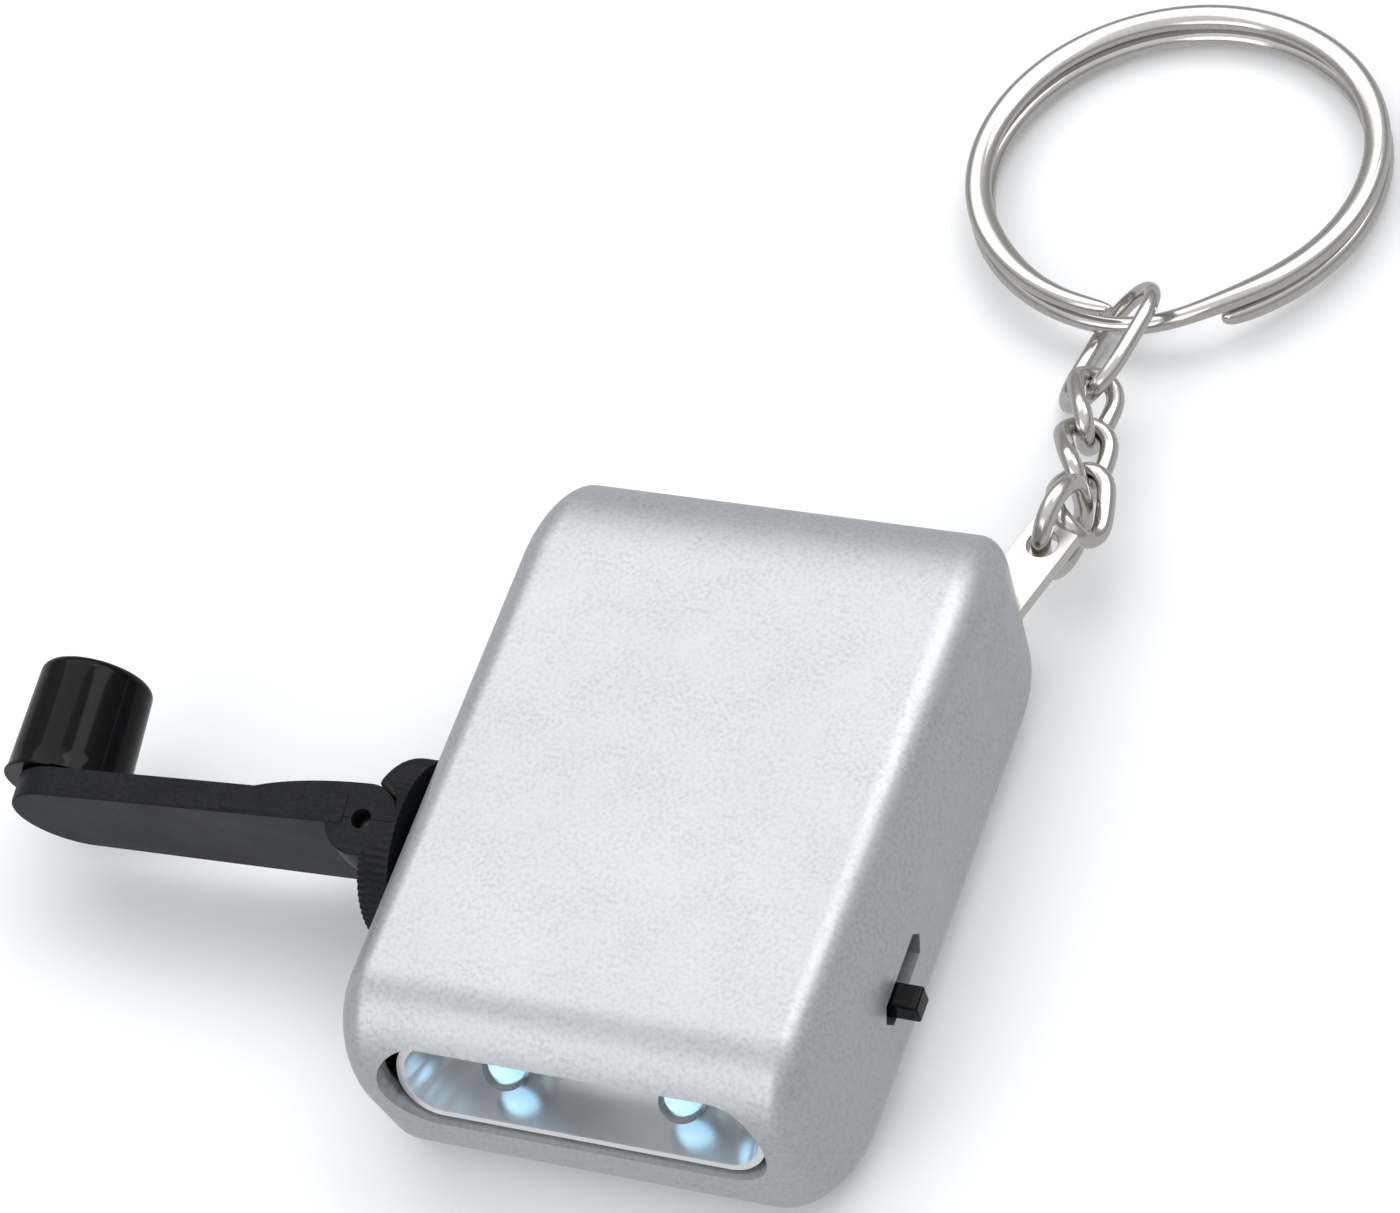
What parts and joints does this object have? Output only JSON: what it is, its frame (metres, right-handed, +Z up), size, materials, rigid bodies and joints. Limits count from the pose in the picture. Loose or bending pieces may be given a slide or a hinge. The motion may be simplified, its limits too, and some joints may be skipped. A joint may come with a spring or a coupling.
{
  "type": "wind-up keychain light",
  "caption": "Wind-up pocket light: rounded silver case, folding black crank, side switch, clear lamps in a chrome reflector, and a short chain with a split ring.",
  "frame": {"origin": "under the middle of the case, on its flat back face", "axes": "+Y from the light opening to the key ring, +X to the side with the switch, +Z up through the case"},
  "size_m": [0.0784, 0.1017, 0.0156],
  "materials": {
    "silver_paint": "silver metallic paint, satin",
    "chrome": "mirror plating on plastic",
    "nickel": "polished nickel",
    "steel": "plain steel",
    "black_plastic": "black moulded plastic",
    "white_nylon": "natural nylon",
    "clear_epoxy": "clear epoxy",
    "board_laminate": "green laminate",
    "copper": "enamelled copper",
    "magnet": "dark ferrite"
  },
  "bodies": {
    "case": {"top_shell": "silver_paint", "bottom_shell": "silver_paint", "key_tab": "nickel", "shell_screw_front_left": "steel", "shell_screw_front_right": "steel", "shell_screw_tab": "steel", "shell_screw_back": "steel", "reflector": "chrome", "led_left": "clear_epoxy", "led_right": "clear_epoxy", "led_board": "board_laminate", "frame_screw_1": "steel", "frame_screw_2": "steel", "gear_frame": "black_plastic", "gear_frame_cover": "black_plastic", "arbor_1": "steel", "arbor_2": "steel", "stator_core": "steel", "coil_bobbin": "white_nylon", "generator_coil": "copper", "circuit_board": "board_laminate", "rectifier_diode_1": "black_plastic", "rectifier_diode_2": "black_plastic", "rectifier_diode_3": "black_plastic", "rectifier_diode_4": "black_plastic", "smoothing_capacitor": "black_plastic", "switch_body": "steel", "storage_cell": "steel"},
    "crank_drive": {"crank_hub": "black_plastic", "shaft_clip": "steel", "drive_gear": "white_nylon"},
    "crank_arm": {"crank_arm": "black_plastic", "hinge_pin": "steel"},
    "crank_knob": {"crank_knob": "black_plastic"},
    "gear_1": {"compound_gear_1": "white_nylon"},
    "gear_2": {"compound_gear_2": "white_nylon"},
    "rotor": {"rotor_shaft": "steel", "rotor_magnet": "magnet"},
    "switch_slider": {"switch_slider": "black_plastic"},
    "jump_link": {"jump_link": "nickel"},
    "chain_link_1": {"chain_link_1": "nickel"},
    "chain_link_2": {"chain_link_2": "nickel"},
    "chain_link_3": {"chain_link_3": "nickel"},
    "big_link": {"big_link": "nickel"},
    "split_ring": {"split_ring": "nickel"}
  },
  "joints": [
    {"name": "switch_slide", "type": "slide", "parent": "case", "child": "switch_slider", "axis": [0, 1, 0], "range_m": [0, 0.003]},
    {"name": "crank_spin", "type": "hinge", "parent": "case", "child": "crank_drive", "pos_m": [-0.017, -0.005, 0.0078], "axis": [1, 0, 0], "continuous": true},
    {"name": "crank_fold", "type": "hinge", "parent": "crank_drive", "child": "crank_arm", "pos_m": [-0.0203, -0.005, 0.0078], "axis": [0, -0.1736, 0.9848], "range_deg": [-32, 87]},
    {"name": "knob_spin", "type": "hinge", "parent": "crank_arm", "child": "crank_knob", "pos_m": [-0.04537, -0.00033, 0.00862], "axis": [-0.0506, 0.9835, 0.1734], "continuous": true},
    {"name": "gear_1_spin", "type": "hinge", "parent": "case", "child": "gear_1", "pos_m": [-0.0105, 0.0022, 0.0078], "axis": [1, 0, 0], "continuous": true},
    {"name": "gear_2_spin", "type": "hinge", "parent": "case", "child": "gear_2", "pos_m": [-0.0082, 0.0094, 0.0078], "axis": [1, 0, 0], "continuous": true},
    {"name": "rotor_spin", "type": "hinge", "parent": "case", "child": "rotor", "pos_m": [-0.004, 0.0166, 0.0078], "axis": [1, 0, 0], "continuous": true},
    {"name": "jump_link_swing", "type": "hinge", "parent": "case", "child": "jump_link", "pos_m": [0.016, 0.0259, 0.0074], "axis": [0, 0, 1], "range_deg": [-12, 12]},
    {"name": "chain_link_1_swing", "type": "hinge", "parent": "jump_link", "child": "chain_link_1", "pos_m": [0.01757, 0.03108, 0.00514], "axis": [0, 0, 1], "range_deg": [-20, 14]},
    {"name": "chain_link_2_swing", "type": "hinge", "parent": "chain_link_1", "child": "chain_link_2", "pos_m": [0.01562, 0.03296, 0.00511], "axis": [0, 0, 1], "range_deg": [-16, 10]},
    {"name": "chain_link_3_swing", "type": "hinge", "parent": "chain_link_2", "child": "chain_link_3", "pos_m": [0.01458, 0.03754, 0.00481], "axis": [0, 0, 1], "range_deg": [-14, 10]},
    {"name": "big_link_swing", "type": "hinge", "parent": "chain_link_3", "child": "big_link", "pos_m": [0.01415, 0.04222, 0.00415], "axis": [0, 0, 1], "range_deg": [-12, 14]},
    {"name": "split_ring_swing", "type": "hinge", "parent": "big_link", "child": "split_ring", "pos_m": [0.01319, 0.04951, 0.00174], "axis": [0, 0, 1], "range_deg": [-14, 14]}
  ],
  "couplings": [
    {"joint": "gear_1_spin", "follows": "crank_spin", "ratio": -2.6},
    {"joint": "gear_2_spin", "follows": "crank_spin", "ratio": 6.76},
    {"joint": "rotor_spin", "follows": "crank_spin", "ratio": -17.576}
  ]
}
